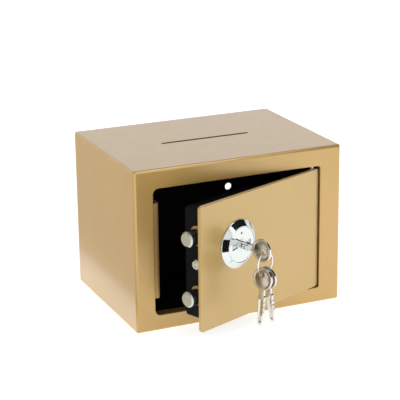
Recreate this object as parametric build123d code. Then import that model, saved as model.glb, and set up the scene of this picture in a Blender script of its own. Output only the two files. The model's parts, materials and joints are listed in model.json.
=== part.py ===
from build123d import *
import math
import os

# Mini safe with a hinged door, key lock, two sliding bolts and a ring of keys.
# Millimetres. Origin at the centre of the base, +X to the right, +Y to the back, +Z up.
# The door and all it carries are drawn shut and then swung open by REST_OPENING.

# Case
WIDTH = 230.0
DEPTH = 170.0
HEIGHT = 170.0
CASE_SHEET = 1.5
CASE_CORNER_RADIUS = 2.0
FRONT_PLATE_THICKNESS = 3.0
RIM_RADIUS = 2.8
BACK_PANEL_THICKNESS = 1.5

# Doorway in the front plate
FREE_SIDE_STILE = 20.5
HINGE_SIDE_STILE = 23.7
SILL_RAIL = 16.6
TOP_RAIL = 20.2
DOORWAY_CORNER_RADIUS = 6.0
DOORWAY_HINGE_CORNER_RADIUS = 2.5
DOORWAY_EDGE_RADIUS = 0.8
RETURN_FLANGE_DEPTH = 8.0
RETURN_FLANGE_SHEET = 1.5

# Coin slot in the roof and bolt holes in the back
SLOT_LENGTH = 100.0
SLOT_WIDTH = 4.6
BACK_HOLE_RADIUS = 4.0
BACK_HOLE_SPACING = 130.0

# Door plate, measured from the hinge axis
REST_OPENING = 22.2
HINGE_BEHIND_FRONT = 5.5
HINGE_TO_DOORWAY_EDGE = 7.4
HINGE_TO_PLATE_EDGE = 4.9
PLATE_THICKNESS = 3.0
PLATE_CORNER_RADIUS = 3.5
PLATE_EDGE_RADIUS = 0.8
PLATE_SILL_GAP = 1.2
PLATE_TOP_GAP = 2.8
PLATE_FREE_SIDE_GAP = 6.6

# Hinge pins, the blocks that hold them and the bushes that they turn in
PIN_RADIUS = 2.5
PIN_RUNNING_CLEARANCE = 0.05
PIN_END_PLAY = 0.5
BLOCK_WIDTH = 9.4
BLOCK_DEPTH = 6.5
BLOCK_HEIGHT = 14.0
BLOCK_END_GAP = 2.2
BUSH_NECK_RADIUS = 3.55
BUSH_HEAD_RADIUS = 5.0
BUSH_HEAD_HEIGHT = 5.0
BUSH_CHAMFER = 0.6

# Keeper strip inside the doorway's free side
KEEPER_WIDTH = 7.2
KEEPER_SHEET = 1.5
KEEPER_DEPTH = 10.7
KEEPER_BEND_RADIUS = 3.0
KEEPER_SILL_GAP = 17.4
KEEPER_TOP_GAP = 15.8
DOOR_STOP_GAP = 0.3

# Pan behind the plate
PAN_SHEET = 1.2
PAN_FREE_SIDE_INSET = 18.5
PAN_HINGE_SIDE_INSET = 18.5
PAN_BOTTOM_INSET = 3.8
PAN_TOP_INSET = 11.4
PAN_DEPTH = 36.7
PAN_EDGE_RADIUS = 2.6

# Bolts
BOLT_RADIUS = 8.0
BOLT_CHAMFER = 1.5
BOLT_AXIS_DEPTH = 22.6
BOLT_PROTRUSION = 15.1
BOLT_LENGTH = 38.5
BOLT_THROW = 10.0
UPPER_BOLT_BELOW_PAN_TOP = 27.5
LOWER_BOLT_ABOVE_PAN_BOTTOM = 24.2
BOLT_FLAT_DEPTH = 1.5
BOLT_RUNNING_CLEARANCE = 0.1
PAN_BOLT_HOLE_RADIUS = 10.5

# Guide plate that the bolts run in
GUIDE_SHEET = 1.5
GUIDE_END_GAP = 6.0
GUIDE_FOOT_WIDTH = 8.2
GUIDE_REAR_GAP = 1.5

# Carriage that joins the bolts, and the studs that it slides on
CARRIAGE_SHEET = 2.0
CARRIAGE_BAR_WIDTH = 20.2
CARRIAGE_END_MARGIN = 6.0
CARRIAGE_ARM_REACH = 14.0
CARRIAGE_ARM_HEIGHT = 18.0
CARRIAGE_CORNER_RADIUS = 2.5
SLIDING_GAP = 0.3
STUD_BASE_RADIUS = 3.5
STUD_NECK_RADIUS = 2.0
STUD_NECK_BEYOND_CLIP = 0.9
STUD_BEYOND_BOLT = 13.8
CLIP_RADIUS = 3.8
CLIP_THICKNESS = 0.8

# Lock
LOCK_FROM_PLATE_EDGE = 53.9
LOCK_BELOW_UPPER_BOLT = 11.5
BEZEL_RADIUS = 25.0
BEZEL_EDGE_HEIGHT = 0.9
BEZEL_HEIGHT = 4.9
BEZEL_TOP_RADIUS = 19.3
FACE_RADIUS = 18.0
FACE_GAP = 0.1
FACE_THICKNESS = 3.0
FACE_SEAT_HEIGHT = 1.5
KNOT_LENGTH = 27.0
KNOT_END_HEIGHT = 7.0
KNOT_WAIST_HEIGHT = 3.6
KNOT_DEPTH = 1.2
DOT_RADIUS = 1.3
DOT_OFFSET = 12.2
DOT_RECESS = 0.4
HOUSING_RADIUS = 11.5
HOUSING_TO_CAM_GAP = 0.3
HOUSING_HOLE_CLEARANCE = 0.5
NUT_RADIUS = 15.0
NUT_THICKNESS = 5.0
NUT_CLEARANCE = 0.05
PLUG_RADIUS = 6.0
PLUG_RUNNING_CLEARANCE = 0.08
PLUG_PROUD = 0.3
PLUG_END_WALL = 2.3
KEYWAY_CLEARANCE = 0.2

# Cam on the plug's tail
TAIL_SIDE = 6.0
TAIL_CLEARANCE = 0.05
CAM_THICKNESS = 2.2
CAM_HUB_RADIUS = 7.0
CAM_TIP_RADIUS = 4.0
CAM_PIN_RADIUS = 2.0
CAM_PIN_BEYOND_CARRIAGE = 1.4
CAM_SLOT_CLEARANCE = 0.5
CAM_SCREW_RADIUS = 4.0
CAM_SCREW_HEIGHT = 2.2
CAM_SCREW_SHANK_RADIUS = 1.5
CAM_SCREW_TO_CARRIAGE_GAP = 2.4

# Keys, measured from the centre of the round bow
KEY_THICKNESS = 2.5
BOW_RADIUS = 11.5
BOW_EDGE_CHAMFER = 0.5
RING_HOLE_RADIUS = 2.5
RING_HOLE_OFFSET = 4.3
NECK_WIDTH = 6.4
COLLAR_START = 18.0
COLLAR_WIDTH = 8.6
COLLAR_LENGTH = 3.2
COLLAR_FLARE = 1.2
COLLAR_LAND = 0.8
BLADE_WIDTH = 7.6
BLADE_LENGTH = 48.0
TIP_WIDTH = 5.0
TIP_LENGTH = 10.0
TIP_TAPER = 3.0
GROOVE_WIDTH = 1.8
GROOVE_DEPTH = 0.5
TIP_TO_KEYWAY_END_GAP = 2.7

# Ring that the keys hang from
RING_RADIUS = 10.5
WIRE_HALF_WIDTH = 0.75
WIRE_CHAMFER = 0.35
HANGING_GAP = 0.3
SPARE_TILT_ROOM = 0.35
FRONT_SPARE_RING_ANGLE = -14.0
REAR_SPARE_RING_ANGLE = 12.0
FRONT_SPARE_LEAN = -5.0
REAR_SPARE_LEAN = 6.0
REAR_SPARE_SWING = -4.0

# Screws
SIDE_SCREW_HEAD_RADIUS = 5.5
SIDE_SCREW_HEAD_HEIGHT = 2.6
SIDE_SCREW_SHANK_RADIUS = 2.5
SIDE_SCREW_LENGTH = 5.5
REAR_SCREW_HEAD_RADIUS = 3.8
REAR_SCREW_HEAD_HEIGHT = 2.1
REAR_SCREW_SHANK_RADIUS = 2.0
REAR_SCREW_LENGTH = 9.0
BOLT_SCREW_HEAD_RADIUS = 3.5
BOLT_SCREW_HEAD_HEIGHT = 2.2
BOLT_SCREW_SHANK_RADIUS = 2.0
BOLT_SCREW_LENGTH = 9.0
CROWN_CHAMFER_SHARE = 0.5
CROSS_LENGTH_SHARE = 1.1
CROSS_WIDTH = 1.1
CROSS_DEPTH = 1.2
SHANK_CLEARANCE = 0.05
POST_RADIUS = 4.0
POST_FROM_PAN_EDGE = 25.3
POST_MARGIN = 24.0

# Places that follow from the sizes above
FRONT_Y = -DEPTH / 2
BACK_Y = DEPTH / 2
FRAME_BACK_Y = FRONT_Y + FRONT_PLATE_THICKNESS
BACK_HOLE_HEIGHT = HEIGHT / 2
DOORWAY_LEFT = -WIDTH / 2 + FREE_SIDE_STILE
DOORWAY_RIGHT = WIDTH / 2 - HINGE_SIDE_STILE
DOORWAY_SILL = SILL_RAIL
DOORWAY_TOP = HEIGHT - TOP_RAIL
HINGE_X = DOORWAY_RIGHT - HINGE_TO_DOORWAY_EDGE
HINGE_Y = FRONT_Y + HINGE_BEHIND_FRONT
PLATE_RIGHT = HINGE_X + HINGE_TO_PLATE_EDGE
PLATE_LEFT = DOORWAY_LEFT + PLATE_FREE_SIDE_GAP
PLATE_WIDTH = PLATE_RIGHT - PLATE_LEFT
PLATE_BOTTOM = DOORWAY_SILL + PLATE_SILL_GAP
PLATE_TOP = DOORWAY_TOP - PLATE_TOP_GAP
PLATE_HEIGHT = PLATE_TOP - PLATE_BOTTOM
PAN_LEFT = PLATE_LEFT + PAN_FREE_SIDE_INSET
PAN_RIGHT = PLATE_RIGHT - PAN_HINGE_SIDE_INSET
PAN_BOTTOM = PLATE_BOTTOM + PAN_BOTTOM_INSET
PAN_TOP = PLATE_TOP - PAN_TOP_INSET
PAN_HEIGHT = PAN_TOP - PAN_BOTTOM
PAN_REAR_DEPTH = PLATE_THICKNESS + PAN_DEPTH
UPPER_BOLT_HEIGHT = PAN_TOP - UPPER_BOLT_BELOW_PAN_TOP
LOWER_BOLT_HEIGHT = PAN_BOTTOM + LOWER_BOLT_ABOVE_PAN_BOTTOM
BOLT_HEIGHTS = (UPPER_BOLT_HEIGHT, LOWER_BOLT_HEIGHT)
LOCK_X = PLATE_LEFT + LOCK_FROM_PLATE_EDGE
LOCK_HEIGHT = UPPER_BOLT_HEIGHT - LOCK_BELOW_UPPER_BOLT
SIDE_SCREW_HEIGHT = (PAN_BOTTOM + PAN_TOP) / 2
BOLT_TIP_X = PAN_LEFT - BOLT_PROTRUSION
BOLT_END_X = BOLT_TIP_X + BOLT_LENGTH
GUIDE_LEFT = PAN_LEFT + PAN_SHEET
GUIDE_RIGHT = GUIDE_LEFT + GUIDE_SHEET
CARRIAGE_LEFT = GUIDE_RIGHT + BOLT_THROW + SLIDING_GAP
CARRIAGE_FRONT_DEPTH = BOLT_AXIS_DEPTH + BOLT_RADIUS - BOLT_FLAT_DEPTH
CARRIAGE_REAR_DEPTH = CARRIAGE_FRONT_DEPTH + CARRIAGE_SHEET
CARRIAGE_RIGHT = CARRIAGE_LEFT + CARRIAGE_BAR_WIDTH
STUD_SLOT_HALF_WIDTH = STUD_NECK_RADIUS + SLIDING_GAP
STUD_X = CARRIAGE_LEFT + CARRIAGE_CORNER_RADIUS + STUD_SLOT_HALF_WIDTH
STUD_HEIGHTS = (LOWER_BOLT_HEIGHT - STUD_BEYOND_BOLT, UPPER_BOLT_HEIGHT + STUD_BEYOND_BOLT)
CAM_CRANK = BOLT_THROW / 2
CAM_REAR_DEPTH = CARRIAGE_FRONT_DEPTH - CAM_SCREW_TO_CARRIAGE_GAP - CAM_SCREW_HEIGHT
CAM_FRONT_DEPTH = CAM_REAR_DEPTH - CAM_THICKNESS
PLUG_REAR_DEPTH = CAM_FRONT_DEPTH
HOUSING_REAR_DEPTH = CAM_FRONT_DEPTH - HOUSING_TO_CAM_GAP
KEYWAY_DEPTH = PLUG_REAR_DEPTH - PLUG_END_WALL
BOW_STANDOFF = BLADE_LENGTH - KEYWAY_DEPTH + TIP_TO_KEYWAY_END_GAP
WIRE_REACH = math.hypot(WIRE_HALF_WIDTH, WIRE_HALF_WIDTH - WIRE_CHAMFER)
HANGING_SLACK = RING_HOLE_RADIUS - WIRE_REACH - HANGING_GAP
RING_WIRE_HEIGHT = LOCK_HEIGHT - HANGING_SLACK
RING_CENTRE_HEIGHT = RING_WIRE_HEIGHT - RING_RADIUS
RING_STANDOFF = BOW_STANDOFF + RING_HOLE_OFFSET


def block(x0, x1, y0, y1, z0, z1):
    """A box between two corners."""
    centre = Pos((x0 + x1) / 2, (y0 + y1) / 2, (z0 + z1) / 2)
    return centre * Box(x1 - x0, y1 - y0, z1 - z0)


def rod_x(radius, x0, x1, depth, height):
    """A round rod along X, its axis at a depth behind the front face."""
    centre = Pos((x0 + x1) / 2, FRONT_Y + depth, height)
    return centre * Rot(0, 90, 0) * Cylinder(radius, x1 - x0)


def rod_y(radius, x, height, depth0, depth1):
    """A round rod along Y between two depths behind the front face."""
    centre = Pos(x, FRONT_Y + (depth0 + depth1) / 2, height)
    return centre * Rot(90, 0, 0) * Cylinder(radius, depth1 - depth0)


def rod_z(radius, x, y, z0, z1):
    """A round upright rod."""
    return Pos(x, y, (z0 + z1) / 2) * Cylinder(radius, z1 - z0)


def turned(points, x, height):
    """A turned piece on an axis along Y: points are (radius, depth) pairs."""
    profile = make_face(Polyline(*points, close=True))
    return Pos(x, FRONT_Y, height) * revolve(profile, Axis.Y, 360)


def panel_y(width, height, radius, x, z, depth0, depth1):
    """A rounded rectangular slab facing along Y."""
    outline = RectangleRounded(width, height, radius)
    facing = Plane(origin=(x, FRONT_Y + depth0, z), x_dir=(1, 0, 0), z_dir=(0, 1, 0))
    return extrude(facing * outline, amount=depth1 - depth0)


def open_door(shape):
    """Swing a piece of the shut door to where the open door rests."""
    hinge = Pos(HINGE_X, HINGE_Y, 0)
    back = Pos(-HINGE_X, -HINGE_Y, 0)
    return hinge * Rot(0, 0, REST_OPENING) * back * shape


def cross_recess(head_radius):
    """The cross cut into a screw head, at the origin, cutting down from z = 0."""
    length = CROSS_LENGTH_SHARE * head_radius
    first = Pos(0, 0, -CROSS_DEPTH / 2) * Box(length, CROSS_WIDTH, CROSS_DEPTH)
    second = Pos(0, 0, -CROSS_DEPTH / 2) * Box(CROSS_WIDTH, length, CROSS_DEPTH)
    return first + second


def pan_head_screw(head_radius, head_height, shank_radius, shank_length):
    """A domed screw standing on z = 0 with its shank below."""
    crown = Cylinder(head_radius, head_height, align=(Align.CENTER, Align.CENTER, Align.MIN))
    rim = crown.edges().filter_by(GeomType.CIRCLE).sort_by(Axis.Z)[-1:]
    crown = chamfer(rim, CROWN_CHAMFER_SHARE * head_height)
    shank = Cylinder(shank_radius, shank_length, align=(Align.CENTER, Align.CENTER, Align.MAX))
    return crown + shank - Pos(0, 0, head_height) * cross_recess(head_radius)


# Case

def body_wrap():
    """Roof, sides and floor in one wrapped sheet, with the coin slot."""
    outer = panel_y(WIDTH, HEIGHT, CASE_CORNER_RADIUS, 0, HEIGHT / 2, FRONT_PLATE_THICKNESS, DEPTH)
    inner_radius = CASE_CORNER_RADIUS - CASE_SHEET
    inner_width = WIDTH - 2 * CASE_SHEET
    inner_height = HEIGHT - 2 * CASE_SHEET
    inner = panel_y(inner_width, inner_height, inner_radius, 0, HEIGHT / 2, 0, DEPTH + 1)
    slot_outline = SlotOverall(SLOT_LENGTH, SLOT_WIDTH)
    slot = extrude(Plane.XY.offset(HEIGHT - 2 * CASE_SHEET) * slot_outline, amount=3 * CASE_SHEET)
    return outer - inner - slot


def doorway_prism(grow, depth0, depth1):
    """The doorway's outline, grown by an amount, as a prism: tighter corners on the hinge side."""
    left = DOORWAY_LEFT - grow
    right = DOORWAY_RIGHT + grow
    y0 = FRONT_Y + depth0
    y1 = FRONT_Y + depth1
    prism = block(left, right, y0, y1, DOORWAY_SILL - grow, DOORWAY_TOP + grow)
    prism = fillet(prism.edges().filter_by(Axis.Y).sort_by(Axis.X)[:2], DOORWAY_CORNER_RADIUS + grow)
    hinge_corners = prism.edges().filter_by(Axis.Y).sort_by(Axis.X)[-2:]
    return fillet(hinge_corners, DOORWAY_HINGE_CORNER_RADIUS + grow)


def front_frame():
    """Front plate with a rounded rim and a return flange round the doorway."""
    plate = panel_y(WIDTH, HEIGHT, CASE_CORNER_RADIUS, 0, HEIGHT / 2, 0, FRONT_PLATE_THICKNESS)
    front_edges = plate.faces().sort_by(Axis.Y)[0].edges()
    plate = fillet(front_edges, RIM_RADIUS)
    flange_rear = FRONT_PLATE_THICKNESS + RETURN_FLANGE_DEPTH
    frame = plate + doorway_prism(RETURN_FLANGE_SHEET, FRONT_PLATE_THICKNESS, flange_rear)
    frame = frame - doorway_prism(0, -1, flange_rear + 1)
    inner_front = frame.faces().sort_by(Axis.Y)[0].inner_wires()[0].edges()
    frame = fillet(inner_front, DOORWAY_EDGE_RADIUS)
    for upper in (False, True):
        mouth, end = bush_span(upper)
        inside = mouth - RETURN_FLANGE_SHEET if upper else mouth + RETURN_FLANGE_SHEET
        frame -= rod_z(BUSH_NECK_RADIUS, HINGE_X, HINGE_Y, min(inside, end), max(inside, end))
    return frame


def back_panel():
    """Back sheet set flush in the wrap, with two holes for bolting to a wall."""
    width = WIDTH - 2 * CASE_SHEET
    height = HEIGHT - 2 * CASE_SHEET
    radius = CASE_CORNER_RADIUS - CASE_SHEET
    panel = panel_y(width, height, radius, 0, HEIGHT / 2, DEPTH - BACK_PANEL_THICKNESS, DEPTH)
    for side in (-1, 1):
        panel -= rod_y(BACK_HOLE_RADIUS, side * BACK_HOLE_SPACING / 2, BACK_HOLE_HEIGHT, 0, DEPTH + 1)
    return panel


def keeper_strip():
    """Bent strip that stops the door and that the thrown bolts lock behind."""
    x0 = DOORWAY_LEFT
    x1 = DOORWAY_LEFT + KEEPER_WIDTH
    y0 = FRONT_Y + PLATE_THICKNESS + DOOR_STOP_GAP
    y1 = y0 + KEEPER_DEPTH
    solid = block(x0, x1, y0, y1, DOORWAY_SILL + KEEPER_SILL_GAP, DOORWAY_TOP - KEEPER_TOP_GAP)
    bend = solid.edges().filter_by(Axis.Z).group_by(Axis.X)[-1].sort_by(Axis.Y)[:1]
    solid = fillet(bend, KEEPER_BEND_RADIUS)
    inner_x = x1 - KEEPER_SHEET
    hollow = block(x0 - 1, inner_x, y0 + KEEPER_SHEET, y1 + 1, 0, HEIGHT)
    inner_bend = hollow.edges().filter_by(Axis.Z).group_by(Axis.X)[-1].sort_by(Axis.Y)[:1]
    hollow = fillet(inner_bend, KEEPER_BEND_RADIUS - KEEPER_SHEET)
    return solid - hollow


def bush_span(upper):
    """Heights of a bush's mouth at the doorway and of its far end."""
    outward = 1 if upper else -1
    mouth = DOORWAY_TOP if upper else DOORWAY_SILL
    return mouth, mouth + outward * (RETURN_FLANGE_SHEET + BUSH_HEAD_HEIGHT)


def hinge_bush(upper):
    """Shouldered bush in the return flange that a hinge pin turns in."""
    outward = 1 if upper else -1
    mouth, end = bush_span(upper)
    seat = mouth + outward * RETURN_FLANGE_SHEET
    head = rod_z(BUSH_HEAD_RADIUS, HINGE_X, HINGE_Y, min(seat, end), max(seat, end))
    rim = head.edges().filter_by(GeomType.CIRCLE).sort_by(Axis.Z)
    far_rim = rim[-1:] if upper else rim[:1]
    head = chamfer(far_rim, BUSH_CHAMFER)
    right = HINGE_X + BUSH_HEAD_RADIUS
    head -= block(HINGE_X - BUSH_HEAD_RADIUS, right, FRONT_Y, FRAME_BACK_Y, 0, HEIGHT)
    neck = rod_z(BUSH_NECK_RADIUS, HINGE_X, HINGE_Y, min(mouth, end), max(mouth, end))
    bore = rod_z(PIN_RADIUS + PIN_RUNNING_CLEARANCE, HINGE_X, HINGE_Y, 0, HEIGHT)
    return neck + head - bore


# Door shell and hinges

def door_plate():
    """Steel door plate with softened edges and the hole for the lock."""
    x = (PLATE_LEFT + PLATE_RIGHT) / 2
    z = (PLATE_BOTTOM + PLATE_TOP) / 2
    plate = panel_y(PLATE_WIDTH, PLATE_HEIGHT, PLATE_CORNER_RADIUS, x, z, 0, PLATE_THICKNESS)
    plate = fillet(plate.faces().sort_by(Axis.Y)[0].edges(), PLATE_EDGE_RADIUS)
    hole_radius = HOUSING_RADIUS + HOUSING_HOLE_CLEARANCE
    return plate - rod_y(hole_radius, LOCK_X, LOCK_HEIGHT, -1, PLATE_THICKNESS + 1)


def block_base(upper):
    """Height of the underside of a hinge block."""
    if upper:
        return PLATE_TOP - BLOCK_END_GAP - BLOCK_HEIGHT
    return PLATE_BOTTOM + BLOCK_END_GAP


def hinge_blocks():
    """Two drilled blocks on the back of the plate that hold the hinge pins."""
    blocks = []
    right = PLATE_RIGHT - BLOCK_END_GAP / 4
    back = FRONT_Y + PLATE_THICKNESS
    for upper in (False, True):
        base = block_base(upper)
        lug = block(right - BLOCK_WIDTH, right, back, back + BLOCK_DEPTH, base, base + BLOCK_HEIGHT)
        rear_edges = lug.edges().filter_by(Axis.Z).group_by(Axis.Y)[-1]
        lug = fillet(rear_edges, 1.5)
        bore = PIN_RADIUS + PIN_RUNNING_CLEARANCE / 2
        blocks.append(lug - rod_z(bore, HINGE_X, HINGE_Y, base - 1, base + BLOCK_HEIGHT + 1))
    return Compound(blocks)


def hinge_pin(upper):
    """Pin held in a hinge block and turning in a bush in the frame."""
    base = block_base(upper)
    reach = RETURN_FLANGE_SHEET + BUSH_HEAD_HEIGHT - PIN_END_PLAY
    if upper:
        pin = rod_z(PIN_RADIUS, HINGE_X, HINGE_Y, base, DOORWAY_TOP + reach)
    else:
        pin = rod_z(PIN_RADIUS, HINGE_X, HINGE_Y, DOORWAY_SILL - reach, base + BLOCK_HEIGHT)
    return chamfer(pin.edges().filter_by(GeomType.CIRCLE), 0.5)


def post_places():
    """Places of the two posts that carry the pan on its hinge side."""
    x = PAN_RIGHT - POST_FROM_PAN_EDGE
    return [(x, PAN_BOTTOM + POST_MARGIN), (x, PAN_TOP - POST_MARGIN)]


def door_pan():
    """Folded black pan over the lock work, with two holes for the bolts."""
    x = (PAN_LEFT + PAN_RIGHT) / 2
    z = (PAN_BOTTOM + PAN_TOP) / 2
    width = PAN_RIGHT - PAN_LEFT
    pan = panel_y(width, PAN_HEIGHT, PAN_EDGE_RADIUS, x, z, PLATE_THICKNESS, PAN_REAR_DEPTH)
    pan = fillet(pan.faces().sort_by(Axis.Y)[-1].edges(), PAN_EDGE_RADIUS - 0.1)
    inner_radius = PAN_EDGE_RADIUS - PAN_SHEET
    inner_width = width - 2 * PAN_SHEET
    inner_height = PAN_HEIGHT - 2 * PAN_SHEET
    inner_rear = PAN_REAR_DEPTH - PAN_SHEET
    pan -= panel_y(inner_width, inner_height, inner_radius, x, z, PLATE_THICKNESS - 1, inner_rear)
    for height in BOLT_HEIGHTS:
        pan -= rod_x(PAN_BOLT_HOLE_RADIUS, PAN_LEFT - 1, GUIDE_LEFT + 0.1, BOLT_AXIS_DEPTH, height)
    shank = SIDE_SCREW_SHANK_RADIUS + SHANK_CLEARANCE
    pan -= rod_x(shank, PAN_LEFT - 1, GUIDE_LEFT + 0.1, BOLT_AXIS_DEPTH, SIDE_SCREW_HEIGHT)
    for post_x, post_z in post_places():
        hole = REAR_SCREW_SHANK_RADIUS + SHANK_CLEARANCE
        pan -= rod_y(hole, post_x, post_z, inner_rear - 1, PAN_REAR_DEPTH + 1)
    return pan


def pan_posts():
    """Two tapped posts between the plate and the pan's rear wall."""
    posts = []
    for post_x, post_z in post_places():
        post = rod_y(POST_RADIUS, post_x, post_z, PLATE_THICKNESS, PAN_REAR_DEPTH - PAN_SHEET)
        bore = REAR_SCREW_SHANK_RADIUS + SHANK_CLEARANCE
        depth = PAN_REAR_DEPTH - REAR_SCREW_LENGTH - 1
        posts.append(post - rod_y(bore, post_x, post_z, depth, PAN_REAR_DEPTH))
    return Compound(posts)


def pan_rear_screws():
    """Two screws through the pan's rear wall into the posts."""
    screws = []
    for post_x, post_z in post_places():
        screw = pan_head_screw(
            REAR_SCREW_HEAD_RADIUS, REAR_SCREW_HEAD_HEIGHT, REAR_SCREW_SHANK_RADIUS, REAR_SCREW_LENGTH
        )
        screws.append(Pos(post_x, FRONT_Y + PAN_REAR_DEPTH, post_z) * Rot(-90, 0, 0) * screw)
    return Compound(screws)


def pan_side_screw():
    """Chrome screw on the pan's free side, into the guide plate."""
    screw = pan_head_screw(
        SIDE_SCREW_HEAD_RADIUS, SIDE_SCREW_HEAD_HEIGHT, SIDE_SCREW_SHANK_RADIUS, SIDE_SCREW_LENGTH
    )
    return Pos(PAN_LEFT, FRONT_Y + BOLT_AXIS_DEPTH, SIDE_SCREW_HEIGHT) * Rot(0, -90, 0) * screw


# Bolt work

def bolt_guide():
    """Bent plate inside the pan's free side that both bolts run in."""
    z0 = PAN_BOTTOM + GUIDE_END_GAP
    z1 = PAN_TOP - GUIDE_END_GAP
    front = FRONT_Y + PLATE_THICKNESS
    rear = FRONT_Y + PAN_REAR_DEPTH - PAN_SHEET - GUIDE_REAR_GAP
    solid = block(GUIDE_LEFT, GUIDE_LEFT + GUIDE_FOOT_WIDTH, front, rear, z0, z1)
    hollow = block(GUIDE_RIGHT, PAN_RIGHT, front + GUIDE_SHEET, rear + 1, z0 - 1, z1 + 1)
    bend = solid.edges().filter_by(Axis.Z).group_by(Axis.X)[0].sort_by(Axis.Y)[:1]
    guide = fillet(bend, GUIDE_SHEET) - hollow
    for height in BOLT_HEIGHTS:
        radius = BOLT_RADIUS + BOLT_RUNNING_CLEARANCE
        guide -= rod_x(radius, GUIDE_LEFT - 1, GUIDE_RIGHT + 1, BOLT_AXIS_DEPTH, height)
    shank = SIDE_SCREW_SHANK_RADIUS + SHANK_CLEARANCE
    guide -= rod_x(shank, GUIDE_LEFT - 1, GUIDE_RIGHT + 1, BOLT_AXIS_DEPTH, SIDE_SCREW_HEIGHT)
    return guide


def bolt(height):
    """Turned bolt with a chamfered nose and a flat that seats on the carriage."""
    rod = rod_x(BOLT_RADIUS, BOLT_TIP_X, BOLT_END_X, BOLT_AXIS_DEPTH, height)
    nose = rod.edges().filter_by(GeomType.CIRCLE).sort_by(Axis.X)[:1]
    rod = chamfer(nose, BOLT_CHAMFER)
    flat_y = FRONT_Y + CARRIAGE_FRONT_DEPTH
    z0 = height - BOLT_RADIUS - 1
    z1 = height + BOLT_RADIUS + 1
    rod -= block(CARRIAGE_LEFT, BOLT_END_X + 1, flat_y, flat_y + BOLT_RADIUS, z0, z1)
    x = bolt_screw_x()
    depth = CARRIAGE_REAR_DEPTH - BOLT_SCREW_LENGTH - 0.5
    return rod - rod_y(BOLT_SCREW_SHANK_RADIUS + SHANK_CLEARANCE, x, height, depth, PAN_REAR_DEPTH)


def bolt_screw_x():
    """Place of the screws that hold the bolts to the carriage."""
    return (CARRIAGE_LEFT + BOLT_END_X) / 2


def bolt_screws():
    """Two screws through the carriage into the bolts."""
    screws = []
    for height in BOLT_HEIGHTS:
        screw = pan_head_screw(
            BOLT_SCREW_HEAD_RADIUS, BOLT_SCREW_HEAD_HEIGHT, BOLT_SCREW_SHANK_RADIUS, BOLT_SCREW_LENGTH
        )
        place = Pos(bolt_screw_x(), FRONT_Y + CARRIAGE_REAR_DEPTH, height)
        screws.append(place * Rot(-90, 0, 0) * screw)
    return Compound(screws)


def bolt_carriage():
    """Sliding plate that joins both bolts, with stud slots and the cam pin's slot."""
    z0 = STUD_HEIGHTS[0] - CARRIAGE_END_MARGIN
    z1 = STUD_HEIGHTS[1] + CARRIAGE_END_MARGIN
    y0 = FRONT_Y + CARRIAGE_FRONT_DEPTH
    y1 = FRONT_Y + CARRIAGE_REAR_DEPTH
    bar = block(CARRIAGE_LEFT, CARRIAGE_RIGHT, y0, y1, z0, z1)
    arm_z = LOCK_HEIGHT + CAM_CRANK
    arm_z0 = arm_z - CARRIAGE_ARM_HEIGHT / 2
    arm_z1 = arm_z + CARRIAGE_ARM_HEIGHT / 2
    plate = bar + block(CARRIAGE_RIGHT, CARRIAGE_RIGHT + CARRIAGE_ARM_REACH, y0, y1, arm_z0, arm_z1)
    corners = plate.edges().filter_by(Axis.Y)
    plate = fillet(corners, CARRIAGE_CORNER_RADIUS)
    half_width = STUD_SLOT_HALF_WIDTH
    for height in STUD_HEIGHTS:
        outline = SlotOverall(BOLT_THROW + 2 * half_width, 2 * half_width)
        facing = Plane(origin=(STUD_X + BOLT_THROW / 2, y0 - 1, height), x_dir=(1, 0, 0), z_dir=(0, 1, 0))
        plate -= extrude(facing * outline, amount=CARRIAGE_SHEET + 2)
    slot_half = CAM_PIN_RADIUS + CAM_SLOT_CLEARANCE
    crank_top = CAM_CRANK * math.sqrt(2)
    slot_z0 = LOCK_HEIGHT + CAM_CRANK - slot_half
    slot_z1 = LOCK_HEIGHT + crank_top + slot_half
    outline = SlotOverall(slot_z1 - slot_z0, 2 * slot_half)
    slot_centre = (LOCK_X + CAM_CRANK, y0 - 1, (slot_z0 + slot_z1) / 2)
    facing = Plane(origin=slot_centre, x_dir=(0, 0, 1), z_dir=(0, 1, 0))
    plate -= extrude(facing * outline, amount=CARRIAGE_SHEET + 2)
    for height in BOLT_HEIGHTS:
        hole = BOLT_SCREW_SHANK_RADIUS + SHANK_CLEARANCE
        depth = CARRIAGE_FRONT_DEPTH
        plate -= rod_y(hole, bolt_screw_x(), height, depth - 1, depth + CARRIAGE_SHEET + 1)
    return plate


def carriage_studs():
    """Two shouldered studs on the plate that the carriage slides on."""
    studs = []
    for height in STUD_HEIGHTS:
        shoulder = CARRIAGE_FRONT_DEPTH - SLIDING_GAP
        clip_rear = CARRIAGE_REAR_DEPTH + SLIDING_GAP + CLIP_THICKNESS
        base = rod_y(STUD_BASE_RADIUS, STUD_X, height, PLATE_THICKNESS, shoulder)
        neck = rod_y(STUD_NECK_RADIUS, STUD_X, height, shoulder, clip_rear + STUD_NECK_BEYOND_CLIP)
        studs.append(base + neck)
    return Compound(studs)


def stud_clips():
    """Two open clips on the studs' necks that keep the carriage on."""
    clips = []
    for height in STUD_HEIGHTS:
        front = CARRIAGE_REAR_DEPTH + SLIDING_GAP
        rear = front + CLIP_THICKNESS
        disc = rod_y(CLIP_RADIUS, STUD_X, height, front, rear)
        bore = rod_y(STUD_NECK_RADIUS, STUD_X, height, front - 1, rear + 1)
        y0 = FRONT_Y + front - 1
        y1 = FRONT_Y + rear + 1
        half_mouth = 0.8 * STUD_NECK_RADIUS
        mouth = block(STUD_X - half_mouth, STUD_X + half_mouth, y0, y1, height - 2 * CLIP_RADIUS, height)
        clips.append(disc - bore - mouth)
    return Compound(clips)


# Lock

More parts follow.
